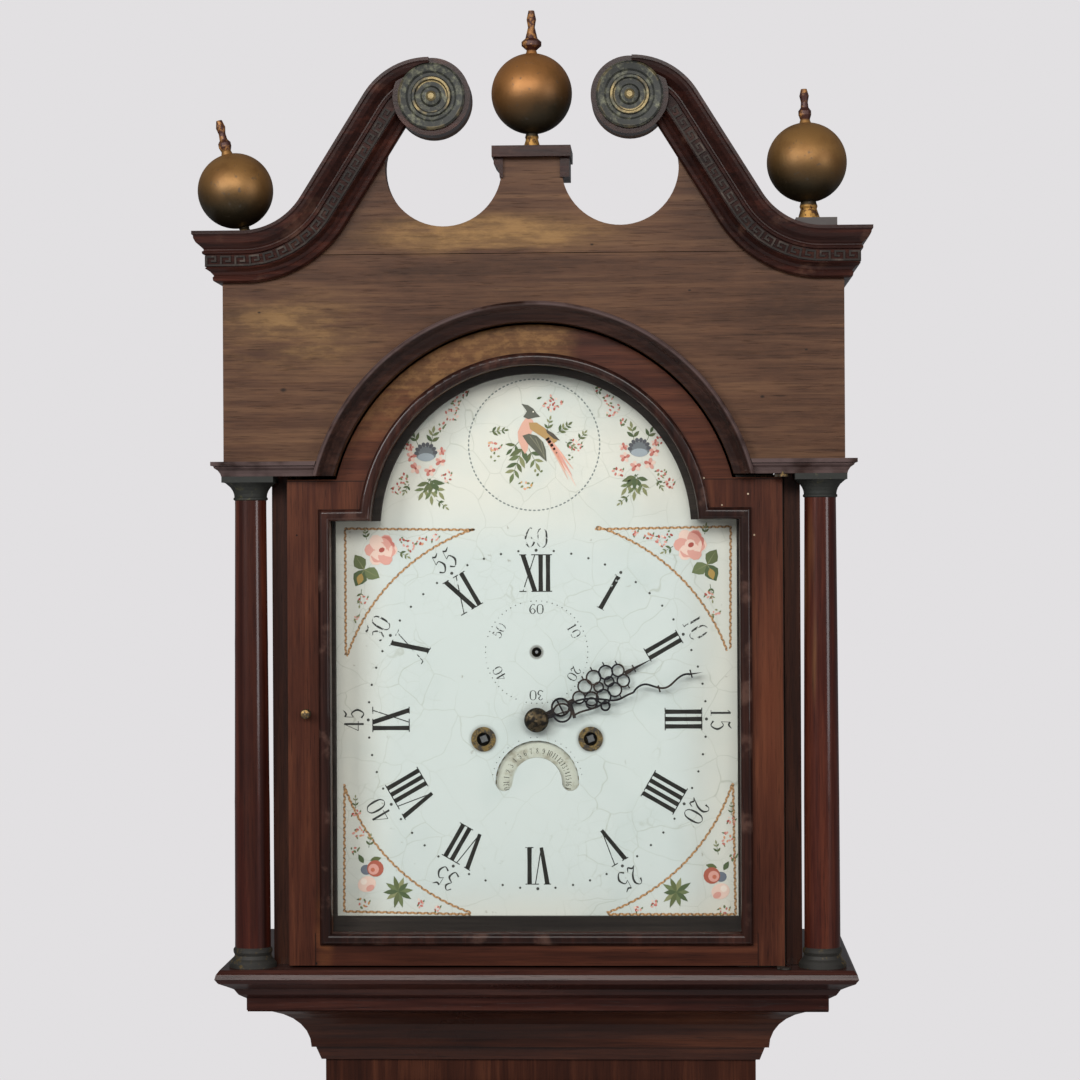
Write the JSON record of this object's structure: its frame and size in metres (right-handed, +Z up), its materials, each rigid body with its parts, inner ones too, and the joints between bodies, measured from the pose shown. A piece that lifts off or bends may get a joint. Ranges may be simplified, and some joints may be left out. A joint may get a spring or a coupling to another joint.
{
  "type": "longcase clock",
  "caption": "Weight-driven longcase clock: slide-off swan-neck hood with columns and ball finials, glazed door, painted break-arch dial, trunk door, pendulum, bell and striking train.",
  "frame": {"origin": "middle of the clock's footprint on the floor", "axes": "+Z up, -Y towards the front with the dial, +X to the right seen from the front"},
  "size_m": [0.5082, 0.262, 2.2245],
  "materials": {
    "pine": "bare, dusty",
    "mahogany": "old polish",
    "frieze_wood": "worn polish",
    "cornice_wood": "old polish",
    "gilt": "tarnished",
    "dark_brass": "blackened",
    "old_brass": "satin",
    "clock_brass": "polished",
    "bell_metal": "polished",
    "steel": "polished",
    "blued_steel": "dark",
    "dial_paint": "crazed enamel paint",
    "iron": "rough",
    "gut": "smooth cord",
    "glass": "clear"
  },
  "bodies": {
    "case": {"trunk_carcass": "pine", "trunk_front_frame": "mahogany", "case_mouldings": "mahogany", "base_box": "mahogany", "seatboard": "pine", "trunk_hinges": "old_brass", "movement_plates": "clock_brass", "dial_plate": "dial_paint", "dial_grommets": "clock_brass", "bell": "bell_metal", "gut_uppers": "gut", "gut_going": "gut", "gut_strike": "gut"},
    "hood": {"hood_base_frame": "mahogany", "hood_carcass": "mahogany", "frieze_boards": "frieze_wood", "swan_neck_right": "cornice_wood", "swan_neck_left": "cornice_wood", "roundels": "dark_brass", "arch_moulding": "mahogany", "hood_columns": "mahogany", "column_capitals": "dark_brass", "column_bases": "old_brass", "pedestal_cap": "cornice_wood", "finial_centre": "gilt", "finial_left": "gilt", "finial_right": "gilt", "dial_mask": "pine"},
    "hood_door": {"hood_door_frame": "mahogany", "hood_door_bead": "mahogany", "hood_door_glass": "glass", "hood_door_brass": "old_brass"},
    "trunk_door": {"trunk_door": "mahogany", "trunk_door_brass": "old_brass"},
    "centre": {"centre_arbor": "clock_brass", "cannon_pinion": "clock_brass", "minute_hand": "blued_steel"},
    "hour": {"hour_wheel": "clock_brass", "hour_hand": "blued_steel"},
    "minute_wheel": {"minute_wheel": "clock_brass"},
    "third_wheel": {"third_wheel": "clock_brass"},
    "escape_wheel": {"escape_wheel": "clock_brass"},
    "great_wheel_going": {"great_wheel_going": "clock_brass"},
    "date_disc": {"date_disc": "dial_paint"},
    "pallet_wheel": {"pallet_wheel": "clock_brass"},
    "pin_wheel": {"pin_wheel": "clock_brass"},
    "great_wheel_strike": {"great_wheel_strike": "clock_brass"},
    "warning_wheel": {"warning_wheel": "clock_brass"},
    "fly": {"fly": "clock_brass"},
    "hammer": {"hammer": "steel"},
    "pendulum": {"pendulum_rod": "steel"},
    "anchor": {"anchor": "steel"},
    "bob": {"pendulum_bob": "clock_brass"},
    "rating_nut": {"rating_nut": "clock_brass"},
    "weight_going": {"weight_going": "iron"},
    "pulley_going": {"pulley_going": "clock_brass"},
    "barrel_going": {"barrel_going": "clock_brass"},
    "weight_strike": {"weight_strike": "iron"},
    "pulley_strike": {"pulley_strike": "clock_brass"},
    "barrel_strike": {"barrel_strike": "clock_brass"}
  },
  "joints": [
    {"name": "hood_slide", "type": "slide", "parent": "case", "child": "hood", "axis": [0, -1, 0], "range_m": [0, 0.26]},
    {"name": "hood_door_hinge", "type": "hinge", "parent": "hood", "child": "hood_door", "pos_m": [0.187, -0.1105, 1.69], "axis": [0, 0, 1], "range_deg": [0, 100]},
    {"name": "trunk_door_hinge", "type": "hinge", "parent": "case", "child": "trunk_door", "pos_m": [0.1125, -0.0445, 0.98], "axis": [0, 0, 1], "range_deg": [0, 110]},
    {"name": "minute_turn", "type": "hinge", "parent": "case", "child": "centre", "pos_m": [0, -0.03, 1.6882], "axis": [0, 1, 0], "continuous": true},
    {"name": "hour_turn", "type": "hinge", "parent": "case", "child": "hour", "pos_m": [0, -0.05, 1.6882], "axis": [0, 1, 0], "continuous": true},
    {"name": "minute_wheel_turn", "type": "hinge", "parent": "case", "child": "minute_wheel", "pos_m": [0.02457, -0.026, 1.70541], "axis": [0, 1, 0], "continuous": true},
    {"name": "third_turn", "type": "hinge", "parent": "case", "child": "third_wheel", "pos_m": [0.01211, 0.01, 1.71407], "axis": [0, 1, 0], "continuous": true},
    {"name": "escape_turn", "type": "hinge", "parent": "case", "child": "escape_wheel", "pos_m": [0, 0.01, 1.7397], "axis": [0, 1, 0], "continuous": true},
    {"name": "great_going_turn", "type": "hinge", "parent": "case", "child": "great_wheel_going", "pos_m": [0.041, 0.0345, 1.6732], "axis": [0, 1, 0], "continuous": true},
    {"name": "date_turn", "type": "hinge", "parent": "case", "child": "date_disc", "pos_m": [0, -0.062, 1.64], "axis": [0, 1, 0], "continuous": true},
    {"name": "pallet_turn", "type": "hinge", "parent": "case", "child": "pallet_wheel", "pos_m": [-0.03392, 0.01, 1.73298], "axis": [0, 1, 0], "continuous": true},
    {"name": "pin_turn", "type": "hinge", "parent": "case", "child": "pin_wheel", "pos_m": [-0.04742, 0.01, 1.7096], "axis": [0, 1, 0], "continuous": true},
    {"name": "great_strike_turn", "type": "hinge", "parent": "case", "child": "great_wheel_strike", "pos_m": [-0.041, 0.0345, 1.6732], "axis": [0, 1, 0], "continuous": true},
    {"name": "warning_turn", "type": "hinge", "parent": "case", "child": "warning_wheel", "pos_m": [-0.0547, 0.01, 1.74498], "axis": [0, 1, 0], "continuous": true},
    {"name": "fly_turn", "type": "hinge", "parent": "case", "child": "fly", "pos_m": [-0.0427, 0.01, 1.76577], "axis": [0, 1, 0], "continuous": true},
    {"name": "hammer_lift", "type": "hinge", "parent": "case", "child": "hammer", "pos_m": [-0.0735, 0.014, 1.722], "axis": [0, -1, 0], "range_deg": [0, 8], "stiffness_Nm_per_rad": 0.15, "springref_deg": -11.46},
    {"name": "pendulum_swing", "type": "hinge", "parent": "case", "child": "pendulum", "pos_m": [0, 0.068, 1.7672], "axis": [0, 1, 0], "range_deg": [-2.5, 2.5]},
    {"name": "anchor_rock", "type": "hinge", "parent": "case", "child": "anchor", "pos_m": [0, 0.021, 1.7672], "axis": [0, 1, 0], "range_deg": [-2.6, 2.6]},
    {"name": "bob_adjust", "type": "slide", "parent": "pendulum", "child": "bob", "axis": [0, 0, 1], "range_m": [-0.004, 0.004]},
    {"name": "rating_turn", "type": "hinge", "parent": "bob", "child": "rating_nut", "pos_m": [0, 0.068, 0.7152], "axis": [0, 0, 1], "range_deg": [-1810, 1810]},
    {"name": "weight_going_drop", "type": "slide", "parent": "case", "child": "weight_going", "axis": [0, 0, -1], "range_m": [-0.6, 0.6], "deforming": ["gut_going"]},
    {"name": "barrel_going_turn", "type": "hinge", "parent": "case", "child": "barrel_going", "pos_m": [0.041, 0.011, 1.6732], "axis": [0, 1, 0], "range_deg": [-2700, 2700]},
    {"name": "pulley_going_turn", "type": "hinge", "parent": "weight_going", "child": "pulley_going", "pos_m": [0.041, 0.013, 0.95], "axis": [0, 1, 0], "range_deg": [-1350, 1350]},
    {"name": "weight_strike_drop", "type": "slide", "parent": "case", "child": "weight_strike", "axis": [0, 0, -1], "range_m": [-0.6, 0.6], "deforming": ["gut_strike"]},
    {"name": "barrel_strike_turn", "type": "hinge", "parent": "case", "child": "barrel_strike", "pos_m": [-0.041, 0.011, 1.6732], "axis": [0, 1, 0], "range_deg": [-2700, 2700]},
    {"name": "pulley_strike_turn", "type": "hinge", "parent": "weight_strike", "child": "pulley_strike", "pos_m": [-0.041, 0.013, 0.95], "axis": [0, 1, 0], "range_deg": [-1350, 1350]}
  ],
  "couplings": [
    {"joint": "hour_turn", "follows": "minute_turn", "ratio": 0.083333},
    {"joint": "minute_wheel_turn", "follows": "minute_turn", "ratio": -1},
    {"joint": "third_turn", "follows": "minute_turn", "ratio": -7.5},
    {"joint": "escape_turn", "follows": "minute_turn", "ratio": 60},
    {"joint": "great_going_turn", "follows": "minute_turn", "ratio": -0.083333},
    {"joint": "date_turn", "follows": "minute_turn", "ratio": -0.0013441},
    {"joint": "pin_turn", "follows": "pallet_turn", "ratio": -0.125},
    {"joint": "great_strike_turn", "follows": "pallet_turn", "ratio": 0.0125},
    {"joint": "warning_turn", "follows": "pallet_turn", "ratio": -7},
    {"joint": "fly_turn", "follows": "pallet_turn", "ratio": 49},
    {"joint": "anchor_rock", "follows": "pendulum_swing", "ratio": 1},
    {"joint": "rating_turn", "follows": "bob_adjust", "rad_per_m": 7854},
    {"joint": "barrel_going_turn", "follows": "weight_going_drop", "rad_per_m": -77.519},
    {"joint": "pulley_going_turn", "follows": "weight_going_drop", "rad_per_m": -38.76},
    {"joint": "barrel_strike_turn", "follows": "weight_strike_drop", "rad_per_m": -77.519},
    {"joint": "pulley_strike_turn", "follows": "weight_strike_drop", "rad_per_m": -38.76}
  ]
}
